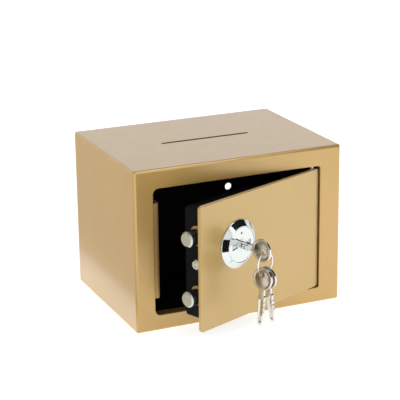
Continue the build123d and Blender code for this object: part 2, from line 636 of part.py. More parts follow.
def lock_escutcheon():
    """Conical chrome bezel with a seat for the lock's face."""
    bore = HOUSING_RADIUS + HOUSING_HOLE_CLEARANCE
    seat = FACE_RADIUS + FACE_GAP
    lip = (BEZEL_TOP_RADIUS + seat) / 2
    points = [
        (bore, 0),
        (BEZEL_RADIUS, 0),
        (BEZEL_RADIUS, -BEZEL_EDGE_HEIGHT),
        (BEZEL_TOP_RADIUS, -BEZEL_HEIGHT + 0.3),
        (lip, -BEZEL_HEIGHT),
        (seat, -BEZEL_HEIGHT + 0.2),
        (seat, -FACE_SEAT_HEIGHT),
        (bore, -FACE_SEAT_HEIGHT),
    ]
    return turned(points, LOCK_X, LOCK_HEIGHT)


def knot_recess():
    """Bow-tie shaped recess across the lock's face."""
    half_length = KNOT_LENGTH / 2
    half_end = KNOT_END_HEIGHT / 2
    half_waist = KNOT_WAIST_HEIGHT / 2
    outline = [
        (-half_length, -half_end),
        (0, -half_waist),
        (half_length, -half_end),
        (half_length, half_end),
        (0, half_waist),
        (-half_length, half_end),
    ]
    front = FACE_SEAT_HEIGHT + FACE_THICKNESS
    face = make_face(Polyline(*outline, close=True))
    facing = Plane(origin=(LOCK_X, FRONT_Y - front, LOCK_HEIGHT), x_dir=(1, 0, 0), z_dir=(0, 1, 0))
    recess = extrude(facing * face, amount=KNOT_DEPTH)
    ends = recess.edges().filter_by(Axis.Y).group_by(Axis.X)
    return fillet(ends[0] + ends[-1], 1.2)


def lock_face():
    """Round face of the lock with its recess, plug bore and dot recess."""
    rear = -FACE_SEAT_HEIGHT
    front = rear - FACE_THICKNESS
    face = rod_y(FACE_RADIUS, LOCK_X, LOCK_HEIGHT, front, rear)
    rim = face.edges().filter_by(GeomType.CIRCLE).sort_by(Axis.Y)[:1]
    face = chamfer(rim, 0.3)
    face -= rod_y(PLUG_RADIUS + PLUG_RUNNING_CLEARANCE, LOCK_X, LOCK_HEIGHT, front - 1, rear + 1)
    face -= rod_y(DOT_RADIUS, LOCK_X, LOCK_HEIGHT + DOT_OFFSET, front - 1, front + DOT_RECESS)
    return face - knot_recess()


def index_dot():
    """Red index dot in its recess above the plug."""
    front = -FACE_SEAT_HEIGHT - FACE_THICKNESS
    return rod_y(DOT_RADIUS, LOCK_X, LOCK_HEIGHT + DOT_OFFSET, front, front + DOT_RECESS)


def lock_housing():
    """Barrel of the lock that goes through the plate."""
    front = -FACE_SEAT_HEIGHT
    barrel = rod_y(HOUSING_RADIUS, LOCK_X, LOCK_HEIGHT, front, HOUSING_REAR_DEPTH)
    rear_rim = barrel.edges().filter_by(GeomType.CIRCLE).sort_by(Axis.Y)[-1:]
    barrel = chamfer(rear_rim, 0.8)
    bore = PLUG_RADIUS + PLUG_RUNNING_CLEARANCE
    return barrel - rod_y(bore, LOCK_X, LOCK_HEIGHT, front - 1, HOUSING_REAR_DEPTH + 1)


def lock_nut():
    """Hexagon nut that clamps the lock's barrel to the plate."""
    facing = Plane(
        origin=(LOCK_X, FRONT_Y + PLATE_THICKNESS, LOCK_HEIGHT), x_dir=(1, 0, 0), z_dir=(0, 1, 0)
    )
    nut = extrude(facing * RegularPolygon(NUT_RADIUS, 6), amount=NUT_THICKNESS)
    bore = HOUSING_RADIUS + NUT_CLEARANCE
    return nut - rod_y(bore, LOCK_X, LOCK_HEIGHT, 0, PLATE_THICKNESS + NUT_THICKNESS + 1)


def lock_plug():
    """Turning plug with the keyway and a square tail for the cam."""
    front = -FACE_SEAT_HEIGHT - FACE_THICKNESS - PLUG_PROUD
    plug = rod_y(PLUG_RADIUS, LOCK_X, LOCK_HEIGHT, front, PLUG_REAR_DEPTH)
    rim = plug.edges().filter_by(GeomType.CIRCLE).sort_by(Axis.Y)[:1]
    plug = chamfer(rim, 0.25)
    half_width = KEY_THICKNESS / 2 + KEYWAY_CLEARANCE
    half_height = BLADE_WIDTH / 2 + KEYWAY_CLEARANCE
    y0 = FRONT_Y + front - 1
    y1 = FRONT_Y + KEYWAY_DEPTH
    z0 = LOCK_HEIGHT - half_height
    z1 = LOCK_HEIGHT + half_height
    plug -= block(LOCK_X - half_width, LOCK_X + half_width, y0, y1, z0, z1)
    half_tail = TAIL_SIDE / 2
    tail_y0 = FRONT_Y + PLUG_REAR_DEPTH
    tail_y1 = FRONT_Y + CAM_REAR_DEPTH
    tail_z0 = LOCK_HEIGHT - half_tail
    tail_z1 = LOCK_HEIGHT + half_tail
    plug += block(LOCK_X - half_tail, LOCK_X + half_tail, tail_y0, tail_y1, tail_z0, tail_z1)
    shank = CAM_SCREW_SHANK_RADIUS + SHANK_CLEARANCE
    return plug - rod_y(shank, LOCK_X, LOCK_HEIGHT, KEYWAY_DEPTH + 0.5, CAM_REAR_DEPTH + 1)


def lock_cam():
    """Cam on the plug's tail whose pin drives the bolt carriage."""
    y0 = FRONT_Y + CAM_FRONT_DEPTH
    facing = Plane(origin=(LOCK_X, y0, LOCK_HEIGHT), x_dir=(1, 0, 0), z_dir=(0, 1, 0))
    hub = Circle(CAM_HUB_RADIUS)
    tip = Pos(CAM_CRANK, -CAM_CRANK) * Circle(CAM_TIP_RADIUS)
    plate = extrude(facing * make_hull((hub + tip).edges()), amount=CAM_THICKNESS)
    half_hole = TAIL_SIDE / 2 + TAIL_CLEARANCE
    hole_z0 = LOCK_HEIGHT - half_hole
    hole_z1 = LOCK_HEIGHT + half_hole
    y1 = y0 + CAM_THICKNESS
    plate -= block(LOCK_X - half_hole, LOCK_X + half_hole, y0 - 1, y1 + 1, hole_z0, hole_z1)
    pin_end = CARRIAGE_REAR_DEPTH + CAM_PIN_BEYOND_CARRIAGE
    x = LOCK_X + CAM_CRANK
    pin = rod_y(CAM_PIN_RADIUS, x, LOCK_HEIGHT + CAM_CRANK, CAM_REAR_DEPTH, pin_end)
    return plate + pin


def cam_screw():
    """Screw that holds the cam on the plug's tail."""
    length = CAM_REAR_DEPTH - KEYWAY_DEPTH - 1
    screw = pan_head_screw(CAM_SCREW_RADIUS, CAM_SCREW_HEIGHT, CAM_SCREW_SHANK_RADIUS, length)
    return Pos(LOCK_X, FRONT_Y + CAM_REAR_DEPTH, LOCK_HEIGHT) * Rot(-90, 0, 0) * screw


# Keys and ring

def blank_key():
    """A key in the XZ plane: bow centre at the origin, blade down, ring hole above the centre."""
    bow = Rot(90, 0, 0) * Cylinder(BOW_RADIUS, KEY_THICKNESS)
    bow = chamfer(bow.edges().filter_by(GeomType.CIRCLE), BOW_EDGE_CHAMFER)
    half_neck = NECK_WIDTH / 2
    half_collar = COLLAR_WIDTH / 2
    half_blade = BLADE_WIDTH / 2
    half_tip = TIP_WIDTH / 2
    collar_end = COLLAR_START + COLLAR_LENGTH
    shoulder = BLADE_LENGTH - TIP_LENGTH - TIP_TAPER
    left = [
        (-half_neck, 0),
        (-half_neck, COLLAR_START - COLLAR_FLARE),
        (-half_collar, COLLAR_START),
        (-half_collar, COLLAR_START + COLLAR_LAND),
        (-half_blade, collar_end),
        (-half_blade, shoulder),
        (-half_tip, BLADE_LENGTH - TIP_LENGTH),
        (-half_tip, BLADE_LENGTH - half_tip),
    ]
    right = [(-x, down) for x, down in reversed(left)]
    nose = ThreePointArc(left[-1], (0, BLADE_LENGTH), right[0])
    outline = make_face(Polyline(*left) + nose + Polyline(*right) + Line(right[-1], left[0]))
    facing = Plane(origin=(0, -KEY_THICKNESS / 2, 0), x_dir=(1, 0, 0), z_dir=(0, 1, 0))
    blade = extrude(facing * outline, amount=KEY_THICKNESS)
    key = bow + blade
    groove_top = -collar_end
    groove_bottom = -BLADE_LENGTH + TIP_LENGTH / 2
    for side in (-1, 1):
        y = side * KEY_THICKNESS / 2
        x0 = -GROOVE_WIDTH / 2
        key -= block(x0, -x0, y - GROOVE_DEPTH, y + GROOVE_DEPTH, groove_bottom, groove_top)
    ring_hole = Pos(0, 0, RING_HOLE_OFFSET) * Rot(90, 0, 0) * Cylinder(RING_HOLE_RADIUS, 2 * KEY_THICKNESS)
    return key - ring_hole


def inserted_key():
    """The key in the lock: flat faces to the sides, blade into the plug."""
    upright = Rot(0, 0, 90) * blank_key()
    lying = Rot(90, 0, 0) * upright
    return Pos(LOCK_X, FRONT_Y - BOW_STANDOFF, LOCK_HEIGHT) * lying


def ring_point(angle):
    """X and height on the ring at an angle from its lowest point, plus to the right."""
    turn = math.radians(angle)
    return LOCK_X + RING_RADIUS * math.sin(turn), RING_CENTRE_HEIGHT - RING_RADIUS * math.cos(turn)


def key_ring():
    """Flat-wire ring through the inserted key's bow."""
    outer = RING_RADIUS + WIRE_HALF_WIDTH
    inner = RING_RADIUS - WIRE_HALF_WIDTH
    band = Cylinder(outer, 2 * WIRE_HALF_WIDTH) - Cylinder(inner, 2 * WIRE_HALF_WIDTH)
    band = chamfer(band.edges().filter_by(GeomType.CIRCLE), WIRE_CHAMFER)
    ring = Rot(90, 0, 0) * band
    return Pos(LOCK_X, FRONT_Y - RING_STANDOFF, RING_CENTRE_HEIGHT) * ring


def spare_key(ring_angle, lean, swing):
    """A key hanging from the ring, leaning sideways and swung along Y."""
    x, height = ring_point(ring_angle)
    hole_to_wire = Pos(0, 0, -RING_HOLE_OFFSET - HANGING_SLACK + SPARE_TILT_ROOM)
    hanging = Rot(0, 0, 90) * hole_to_wire * blank_key()
    return Pos(x, FRONT_Y - RING_STANDOFF, height) * Rot(swing, 0, 0) * Rot(0, -lean, 0) * hanging


def save(name, shape):
    """Write one named piece."""
    export_step(shape, f"parts/{name}.step")


def main():
    os.makedirs("parts", exist_ok=True)
    fixed = {
        "body_wrap": body_wrap(),
        "front_frame": front_frame(),
        "back_panel": back_panel(),
        "keeper_strip": keeper_strip(),
        "upper_hinge_bush": hinge_bush(True),
        "lower_hinge_bush": hinge_bush(False),
    }
    on_door = {
        "door_plate": door_plate(),
        "hinge_blocks": hinge_blocks(),
        "upper_hinge_pin": hinge_pin(True),
        "lower_hinge_pin": hinge_pin(False),
        "door_pan": door_pan(),
        "pan_posts": pan_posts(),
        "pan_rear_screws": pan_rear_screws(),
        "pan_side_screw": pan_side_screw(),
        "bolt_guide": bolt_guide(),
        "upper_bolt": bolt(UPPER_BOLT_HEIGHT),
        "lower_bolt": bolt(LOWER_BOLT_HEIGHT),
        "bolt_screws": bolt_screws(),
        "bolt_carriage": bolt_carriage(),
        "carriage_studs": carriage_studs(),
        "stud_clips": stud_clips(),
        "lock_escutcheon": lock_escutcheon(),
        "lock_face": lock_face(),
        "index_dot": index_dot(),
        "lock_housing": lock_housing(),
        "lock_nut": lock_nut(),
        "lock_plug": lock_plug(),
        "lock_cam": lock_cam(),
        "cam_screw": cam_screw(),
        "inserted_key": inserted_key(),
        "key_ring": key_ring(),
        "spare_key_front": spare_key(FRONT_SPARE_RING_ANGLE, FRONT_SPARE_LEAN, 0),
        "spare_key_rear": spare_key(REAR_SPARE_RING_ANGLE, REAR_SPARE_LEAN, REAR_SPARE_SWING),
    }
    for name, shape in fixed.items():
        save(name, shape)
    for name, shape in on_door.items():
        save(name, open_door(shape))


main()
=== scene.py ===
"""Dressed model of a small gold safe with its door ajar, a key lock and a ring of keys."""

import json
import logging
import math
from dataclasses import dataclass, field
from enum import Enum

import bmesh
import bpy
from mathutils import Matrix, Vector

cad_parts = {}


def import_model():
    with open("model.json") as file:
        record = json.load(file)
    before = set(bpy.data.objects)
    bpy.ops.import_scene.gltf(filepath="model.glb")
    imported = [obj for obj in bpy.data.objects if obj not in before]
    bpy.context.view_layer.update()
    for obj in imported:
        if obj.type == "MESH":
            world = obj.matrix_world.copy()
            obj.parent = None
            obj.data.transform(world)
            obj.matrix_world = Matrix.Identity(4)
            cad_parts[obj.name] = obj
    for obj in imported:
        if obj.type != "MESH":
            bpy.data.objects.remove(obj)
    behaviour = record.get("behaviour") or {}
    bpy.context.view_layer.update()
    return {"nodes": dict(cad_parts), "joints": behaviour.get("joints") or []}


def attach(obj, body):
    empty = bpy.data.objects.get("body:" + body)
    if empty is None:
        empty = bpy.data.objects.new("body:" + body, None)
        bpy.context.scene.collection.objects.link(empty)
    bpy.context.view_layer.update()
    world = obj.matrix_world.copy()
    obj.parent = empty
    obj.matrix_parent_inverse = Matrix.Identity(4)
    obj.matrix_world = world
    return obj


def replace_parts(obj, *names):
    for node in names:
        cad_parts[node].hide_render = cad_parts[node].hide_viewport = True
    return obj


Color = tuple[float, float, float]
Point2 = tuple[float, float]
Point3 = tuple[float, float, float]
Span = tuple[float, float]

MM = 0.001
QUARTER_TURN = math.radians(90)
WELD_REACH = 1e-7
EDGE_STEPS = 3
# Places of the colour sockets on a Mix node, whose other sockets have the same names.
MIX_SHARE = 0
MIX_FIRST = 6
MIX_SECOND = 7
MIX_RESULT = 2
LOG = logging.getLogger("mini_safe")


class Body(Enum):
    """Bodies that the pieces ride on."""

    DOOR = "door"
    KEY = "inserted_key"
    RING = "key_ring"
    FRONT_SPARE = "spare_key_front"
    REAR_SPARE = "spare_key_rear"


class Slot(Enum):
    """Finish slots of the record."""

    CHROME = "chrome"
    KEY = "key_nickel"
    RING = "ring_wire"


class Brushing(Enum):
    """How the fine marks of a metal run."""

    NONE = "none"
    TURNED_X = "turned about the bolt"
    RANDOM = "random"


# Finishes


@dataclass
class NodeSheet:
    """A material's node tree with short calls to fill it."""

    material: bpy.types.Material

    @property
    def nodes(self) -> bpy.types.Nodes:
        """The tree's nodes."""
        return self.material.node_tree.nodes

    @property
    def shader(self) -> bpy.types.Node:
        """The surface shader."""
        return self.nodes["Principled BSDF"]

    def add(self, kind: str, **sockets: object) -> bpy.types.Node:
        """Add a node and set or link its named inputs.

        Args:
            kind: Node type without the ShaderNode prefix.
            **sockets: Input names with spaces as underscores, and a value or an output.

        Returns:
            The new node.
        """
        node = self.nodes.new("ShaderNode" + kind)
        for name, value in sockets.items():
            self.feed(node.inputs[name.replace("_", " ")], value)
        return node

    def feed(self, socket: bpy.types.NodeSocket, value: object) -> None:
        """Set a socket to a value, or link it to an output.

        Args:
            socket: The input to fill.
            value: A value or another node's output.
        """
        if isinstance(value, bpy.types.NodeSocket):
            self.material.node_tree.links.new(value, socket)
        else:
            socket.default_value = value

    def math(self, operation: str, first: object, second: object) -> bpy.types.NodeSocket:
        """Combine two values.

        Args:
            operation: Name of the operation.
            first: Value or output.
            second: Value or output.

        Returns:
            The result's output.
        """
        node = self.nodes.new("ShaderNodeMath")
        node.operation = operation
        self.feed(node.inputs[0], first)
        self.feed(node.inputs[1], second)
        return node.outputs[0]

    def vector(self, operation: str, *inputs: object) -> bpy.types.Node:
        """Combine vectors.

        Args:
            operation: Name of the operation.
            *inputs: Vectors or outputs, in the order of the node's inputs.

        Returns:
            The node, with a vector output and a value output.
        """
        node = self.nodes.new("ShaderNodeVectorMath")
        node.operation = operation
        for socket, value in zip(node.inputs, inputs):
            self.feed(socket, value)
        return node

    def spread(self, value: object, low: float, high: float) -> bpy.types.NodeSocket:
        """Map 0..1 to a range."""
        node = self.add("MapRange", Value=value, To_Min=low, To_Max=high)
        return node.outputs[0]

    def mix(self, share: object, first: object, second: object) -> bpy.types.NodeSocket:
        """Mix two colours.

        Args:
            share: Share of the second colour.
            first: Colour or output.
            second: Colour or output.

        Returns:
            The mixed colour's output.
        """
        node = self.nodes.new("ShaderNodeMix")
        node.data_type = "RGBA"
        self.feed(node.inputs[MIX_SHARE], share)
        self.feed(node.inputs[MIX_FIRST], first)
        self.feed(node.inputs[MIX_SECOND], second)
        return node.outputs[MIX_RESULT]

    def noise(self, scale: float, detail: float, stretch: Point3 = (1, 1, 1)) -> bpy.types.NodeSocket:
        """Noise on the piece's own coordinates.

        Args:
            scale: Lumps per metre.
            detail: Number of finer layers.
            stretch: Scale along each axis.

        Returns:
            The noise value's output.
        """
        place = self.add("TexCoord").outputs["Object"]
        mapping = self.add("Mapping", Vector=place, Scale=stretch)
        texture = self.add("TexNoise", Vector=mapping.outputs[0], Scale=scale, Detail=detail)
        return texture.outputs["Fac"]

    def bump(
        self, height: object, distance: float, strength: float, under: object = None
    ) -> bpy.types.NodeSocket:
        """Bump from a height.

        Args:
            height: Output that gives the height.
            distance: Depth in metres.
            strength: Share of the depth.
            under: Normal of a coarser bump, or None.

        Returns:
            The normal's output.
        """
        node = self.add("Bump", Height=height, Distance=distance, Strength=strength)
        if under is not None:
            self.feed(node.inputs["Normal"], under)
        return node.outputs[0]


def rgba(color: Color) -> tuple[float, float, float, float]:
    """A colour with full alpha."""
    return (*color, 1.0)


def tinted(color: Color, factor: float) -> tuple[float, float, float, float]:
    """A colour made lighter or darker, with full alpha."""
    return rgba(tuple(min(1.0, factor * c) for c in color))


def new_sheet(name: str) -> NodeSheet:
    """Make a new material that uses nodes.

    Args:
        name: Name of the material.

    Returns:
        The material's node sheet.
    """
    material = bpy.data.materials.new(name)
    material.use_nodes = True
    return NodeSheet(material)


@dataclass(frozen=True)
class MetallicPaint:
    """Metallic paint with orange peel, fine flake and, where asked, a black inside."""

    name: str
    color: Color
    metallic: float = 0.55
    roughness: float = 0.38
    roughness_spread: Span = (-0.05, 0.06)
    coat: float = 1.0
    coat_roughness: float = 0.2
    coat_ior: float = 1.6
    sheen: float = 0.12
    cloud_scale: float = 9.0
    cloud_tint: Span = (0.93, 1.06)
    wear_scale: float = 60.0
    peel_scale: float = 720.0
    peel_depth: float = 0.00006
    peel_strength: float = 0.55
    flake_scale: float = 5200.0
    flake_depth: float = 0.00001
    flake_strength: float = 0.25
    flake_sparkle: Span = (0.86, 1.14)
    inside: tuple[Vector, Vector] | None = None
    inside_color: Color = (0.0025, 0.0025, 0.003)
    inside_roughness: float = 0.7
    inside_specular: float = 0.3

    def make(self) -> bpy.types.Material:
        """Build the node material.

        Returns:
            The material.
        """
        sheet = new_sheet(self.name)
        shader = sheet.shader
        flake = sheet.noise(self.flake_scale, detail=1.0)
        color = self.flaked(sheet, flake)
        low, high = self.roughness_spread
        wear = sheet.noise(self.wear_scale, detail=4.0)
        rough = sheet.spread(wear, self.roughness + low, self.roughness + high)
        peel = sheet.noise(self.peel_scale, detail=2.0)
        normal = sheet.bump(peel, self.peel_depth, self.peel_strength)
        normal = sheet.bump(flake, self.flake_depth, self.flake_strength, normal)
        sheet.feed(shader.inputs["Normal"], normal)
        shader.inputs["Coat Roughness"].default_value = self.coat_roughness
        shader.inputs["Coat IOR"].default_value = self.coat_ior
        if self.inside is None:
            sheet.feed(shader.inputs["Base Color"], color)
            sheet.feed(shader.inputs["Roughness"], rough)
            shader.inputs["Metallic"].default_value = self.metallic
            shader.inputs["Coat Weight"].default_value = self.coat
            shader.inputs["Sheen Weight"].default_value = self.sheen
        else:
            self.blacken(sheet, color, rough)
        return sheet.material

    def flaked(self, sheet: NodeSheet, flake: bpy.types.NodeSocket) -> bpy.types.NodeSocket:
        """Mix the clouded paint colour and its sparkle.

        Args:
            sheet: The material's nodes.
            flake: Noise of the metal flakes.

        Returns:
            The colour's output.
        """
        darker, lighter = (tinted(self.color, factor) for factor in self.cloud_tint)
        color = sheet.mix(sheet.noise(self.cloud_scale, detail=3.0), darker, lighter)
        scaled = sheet.vector("SCALE", color)
        sheet.feed(scaled.inputs["Scale"], sheet.spread(flake, *self.flake_sparkle))
        return scaled.outputs[0]

    def blacken(self, sheet: NodeSheet, color: object, rough: object) -> None:
        """Turn the paint black inside the case.

        Args:
            sheet: The material's nodes.
            color: The paint's colour outside.
            rough: The paint's roughness outside.
        """
        shader = sheet.shader
        within = self.within(sheet)
        outside = sheet.math("SUBTRACT", 1.0, within)
        dull = sheet.math("MULTIPLY", within, self.inside_roughness)
        sheet.feed(shader.inputs["Base Color"], sheet.mix(within, color, rgba(self.inside_color)))
        sheet.feed(shader.inputs["Roughness"], sheet.math("MAXIMUM", rough, dull))
        sheet.feed(shader.inputs["Metallic"], sheet.math("MULTIPLY", outside, self.metallic))
        sheet.feed(shader.inputs["Coat Weight"], sheet.math("MULTIPLY", outside, self.coat))
        shader.inputs["Specular IOR Level"].default_value = self.inside_specular

    def within(self, sheet: NodeSheet) -> bpy.types.NodeSocket:
        """Tell the black part of the case from the rest.

        Args:
            sheet: The material's nodes.

        Returns:
            An output that is one inside the black part and zero outside it.
        """
        low, high = self.inside
        place = sheet.add("SeparateXYZ", Vector=sheet.add("TexCoord").outputs["Object"])
        share = None
        for axis in range(3):
            above = sheet.math("GREATER_THAN", place.outputs[axis], low[axis])
            below = sheet.math("LESS_THAN", place.outputs[axis], high[axis])
            both = sheet.math("MULTIPLY", above, below)
            share = both if share is None else sheet.math("MULTIPLY", share, both)
        return share


# Scale, detail and stretch of the fine marks.
MARKS = {
    Brushing.NONE: (900.0, 2.0, (1.0, 1.0, 1.0)),
    Brushing.TURNED_X: (2400.0, 3.0, (1.0, 0.12, 0.12)),
    Brushing.RANDOM: (1500.0, 4.0, (1.0, 1.0, 0.25)),
}


@dataclass(frozen=True)
class Metal:
    """Bare or plated metal with fine marks and slight stains."""

    name: str
    color: Color
    roughness: float
    roughness_spread: Span = (0.75, 1.3)
    stain: float = 0.06
    stain_scale: float = 120.0
    stain_depth: float = 2.2
    smear_scale: float = 340.0
    mark_depth: float = 0.00001
    mark_strength: float = 0.35
    brushing: Brushing = Brushing.RANDOM

    def make(self) -> bpy.types.Material:
        """Build the node material.

        Returns:
            The material.
        """
        sheet = new_sheet(self.name)
        shader = sheet.shader
        shader.inputs["Metallic"].default_value = 1.0
        stain = sheet.noise(self.stain_scale, detail=4.0)
        worn = tinted(self.color, 1 - self.stain_depth * self.stain)
        sheet.feed(shader.inputs["Base Color"], sheet.mix(stain, rgba(self.color), worn))
        smear = sheet.noise(self.smear_scale, detail=5.0)
        low, high = self.roughness_spread
        rough = sheet.spread(smear, low * self.roughness, high * self.roughness)
        sheet.feed(shader.inputs["Roughness"], rough)
        marks = sheet.noise(*MARKS[self.brushing])
        sheet.feed(shader.inputs["Normal"], sheet.bump(marks, self.mark_depth, self.mark_strength))
        return sheet.material


@dataclass(frozen=True)
class RecessedChrome:
    """Chrome plate with painted shade in its recess, which is coloured a shade duller than its front."""

    name: str
    color: Color
    painted_recess_shade: Color
    roughness: float
    roughness_spread: Span = (0.75, 1.3)
    front: float = 0.0042
    reach: float = 0.0165
    stain_scale: float = 160.0
    stain_tint: float = 0.95
    smear_scale: float = 340.0
    mark_scale: float = 900.0
    mark_depth: float = 0.000003
    mark_strength: float = 0.35

    def make(self, lock: Vector, out: Vector) -> bpy.types.Material:
        """Build the node material.

        Args:
            lock: The lock's centre on the door plate.
            out: Direction in which the lock's face looks.

        Returns:
            The material.
        """
        sheet = new_sheet(self.name)
        shader = sheet.shader
        shader.inputs["Metallic"].default_value = 1.0
        stain = sheet.noise(self.stain_scale, detail=4.0)
        plate = sheet.mix(stain, rgba(self.color), tinted(self.color, self.stain_tint))
        # The recess gets a darker colour: painted shade.
        recess = self.painted_shade_mask(sheet, lock, out)
        sheet.feed(shader.inputs["Base Color"], sheet.mix(recess, plate, rgba(self.painted_recess_shade)))
        smear = sheet.noise(self.smear_scale, detail=5.0)
        low, high = self.roughness_spread
        rough = sheet.spread(smear, low * self.roughness, high * self.roughness)
        sheet.feed(shader.inputs["Roughness"], rough)
        marks = sheet.noise(self.mark_scale, detail=2.0)
        sheet.feed(shader.inputs["Normal"], sheet.bump(marks, self.mark_depth, self.mark_strength))
        return sheet.material

    def painted_shade_mask(self, sheet: NodeSheet, lock: Vector, out: Vector) -> bpy.types.NodeSocket:
        """Tell the face's recess, which gets the painted shade, from its front.

        Args:
            sheet: The material's nodes.
            lock: The lock's centre on the door plate.
            out: Direction in which the lock's face looks.

        Returns:
            An output that is one in the recess and zero elsewhere.
        """
        place = sheet.add("TexCoord").outputs["Object"]
        offset = sheet.vector("SUBTRACT", place, tuple(lock)).outputs[0]
        height = sheet.vector("DOT_PRODUCT", offset, tuple(out)).outputs["Value"]
        length = sheet.vector("LENGTH", offset).outputs["Value"]
        low = sheet.math("LESS_THAN", height, self.front)
        near = sheet.math("LESS_THAN", length, self.reach)
        return sheet.math("MULTIPLY", low, near)


@dataclass(frozen=True)
class SatinPaint:
    """Satin paint or enamel with a fine grain."""

    name: str
    color: Color
    roughness: float = 0.36
    roughness_spread: Span = (-0.06, 0.08)
    specular: float = 0.5
    dust_scale: float = 35.0
    dust_tint: float = 1.5
    dust_lift: float = 0.001
    wear_scale: float = 200.0
    grain_scale: float = 1100.0
    grain_depth: float = 0.00004
    grain_strength: float = 0.4

    def make(self) -> bpy.types.Material:
        """Build the node material.

        Returns:
            The material.
        """
        sheet = new_sheet(self.name)
        shader = sheet.shader
        dust = sheet.noise(self.dust_scale, detail=5.0)
        lighter = rgba(tuple(min(1.0, self.dust_tint * c + self.dust_lift) for c in self.color))
        sheet.feed(shader.inputs["Base Color"], sheet.mix(dust, rgba(self.color), lighter))
        wear = sheet.noise(self.wear_scale, detail=3.0)
        low, high = self.roughness_spread
        rough = sheet.spread(wear, self.roughness + low, self.roughness + high)
        sheet.feed(shader.inputs["Roughness"], rough)
        shader.inputs["Specular IOR Level"].default_value = self.specular
        grain = sheet.noise(self.grain_scale, detail=2.0)
        sheet.feed(shader.inputs["Normal"], sheet.bump(grain, self.grain_depth, self.grain_strength))
        return sheet.material


CASE_LOW: Point3 = (-0.115, -0.085, 0.0)
CASE_HIGH: Point3 = (0.115, 0.085, 0.170)


def black_zone(side: float, front: float, back: float) -> tuple[Vector, Vector]:
    """Find the corners of the part of the case whose faces are painted black.

    Args:
        side: How far it lies inside the case's sides, floor and roof.
        front: How far it lies behind the case's front.
        back: How far it lies before the case's back.

    Returns:
        The lowest and the highest corner.
    """
    low = tuple(place + inset for place, inset in zip(CASE_LOW, (side, front, side)))
    high = tuple(place - inset for place, inset in zip(CASE_HIGH, (side, back, side)))
    return Vector(low), Vector(high)


GOLD: Color = (0.545, 0.345, 0.105)
CASE_GOLD = MetallicPaint("case_gold", GOLD, inside=black_zone(0.0008, 0.0028, 0.0008))
FRAME_GOLD = MetallicPaint("frame_gold", GOLD, inside=black_zone(0.0020, 0.0111, 0.0008))
DOOR_GOLD = MetallicPaint("door_gold", (0.50, 0.325, 0.088))
KEEPER_GOLD = MetallicPaint("keeper_gold", (0.46, 0.28, 0.10), roughness=0.36, coat=0.3)
PAN_BLACK = SatinPaint("pan_black", (0.0035, 0.0035, 0.0048), specular=0.06)
INDEX_RED = SatinPaint("index_red", (0.50, 0.006, 0.03), roughness=0.22, specular=0.2)
BOLT_STEEL = Metal("bolt_steel", (0.60, 0.64, 0.61), 0.24, brushing=Brushing.TURNED_X)
CHROME = Metal(
    "chrome_plate", (0.72, 0.77, 0.76), 0.07, stain=0.02, mark_depth=0.000003, brushing=Brushing.NONE
)
# The second colour is the painted shade of the lock face's recess.
FACE_CHROME = RecessedChrome("lock_face_chrome", (0.70, 0.75, 0.73), (0.52, 0.56, 0.55), 0.08)
NICKEL = Metal("key_nickel_plate", (0.76, 0.75, 0.73), 0.09, stain=0.05)
# The bows' matte roughness and marks are their own; their tan colour is a painted reflection of the gold
# door.
BOW_MATTE_PAINTED_REFLECTION = Metal("bow_matte_painted_reflection", (0.62, 0.56, 0.47), 0.36, stain=0.12, mark_depth=0.00003)
RING_STEEL = Metal("ring_polish", (0.80, 0.81, 0.81), 0.11, stain=0.04)
ZINC = Metal("zinc_plate", (0.60, 0.61, 0.62), 0.32, stain=0.10)
DIE_CAST = Metal("die_casting", (0.50, 0.51, 0.52), 0.42, stain=0.12, mark_depth=0.00004)
BRASS = Metal("turned_brass", (0.66, 0.48, 0.20), 0.25, stain=0.10)

Finish = MetallicPaint | Metal | SatinPaint

ZINC_PARTS = (
    "bolt_carriage",
    "bolt_screws",
    "carriage_studs",
    "stud_clips",
    "pan_posts",
    "pan_rear_screws",
    "lock_nut",
    "cam_screw",
    "lock_cam",
    "upper_hinge_pin",
    "lower_hinge_pin",
)


# Meshes


def mesh_piece(name: str, sheet: bmesh.types.BMesh, smooth_angle: float = 35.0) -> bpy.types.Object:
    """Turn a bmesh into a piece, smooth where faces meet gently.

    Args:
        name: Name of the piece.
        sheet: The mesh, which is freed.
        smooth_angle: Largest angle between smooth faces, in degrees.

    Returns:
        The new object.
    """
    bmesh.ops.remove_doubles(sheet, verts=sheet.verts, dist=WELD_REACH)
    bmesh.ops.recalc_face_normals(sheet, faces=sheet.faces)
    limit = math.radians(smooth_angle)
    for face in sheet.faces:
        face.smooth = True
    for edge in sheet.edges:
        edge.smooth = len(edge.link_faces) == 2 and edge.calc_face_angle(0.0) < limit
    mesh = bpy.data.meshes.new(name)
    sheet.to_mesh(mesh)
    sheet.free()
    piece = bpy.data.objects.new(name, mesh)
    bpy.context.scene.collection.objects.link(piece)
    return piece


def square_piece(name: str, size: float) -> bpy.types.Object:
    """Make a level square about the origin.

    Args:
        name: Name of the piece.
        size: Length of its sides in metres.

    Returns:
        The new object.
    """
    sheet = bmesh.new()
    bmesh.ops.create_grid(sheet, x_segments=1, y_segments=1, size=size / 2)
    return mesh_piece(name, sheet)


def turned_mesh(profile: list[Point2], steps: int) -> bmesh.types.BMesh:
    """Revolve a closed profile about Z.

    Args:
        profile: Radius and height pairs in metres.
        steps: Divisions of the turn.

    Returns:
        The mesh.
    """
    sheet = bmesh.new()
    rings = []
    for step in range(steps):
        turn = 2 * math.pi * step / steps
        c, s = math.cos(turn), math.sin(turn)
        rings.append([sheet.verts.new((r * c, r * s, z)) for r, z in profile])
    count = len(profile)
    for step in range(steps):
        here, there = rings[step], rings[(step + 1) % steps]
        for n in range(count):
            m = (n + 1) % count
            sheet.faces.new([here[n], there[n], there[m], here[m]])
    bmesh.ops.remove_doubles(sheet, verts=sheet.verts, dist=WELD_REACH)
    return sheet


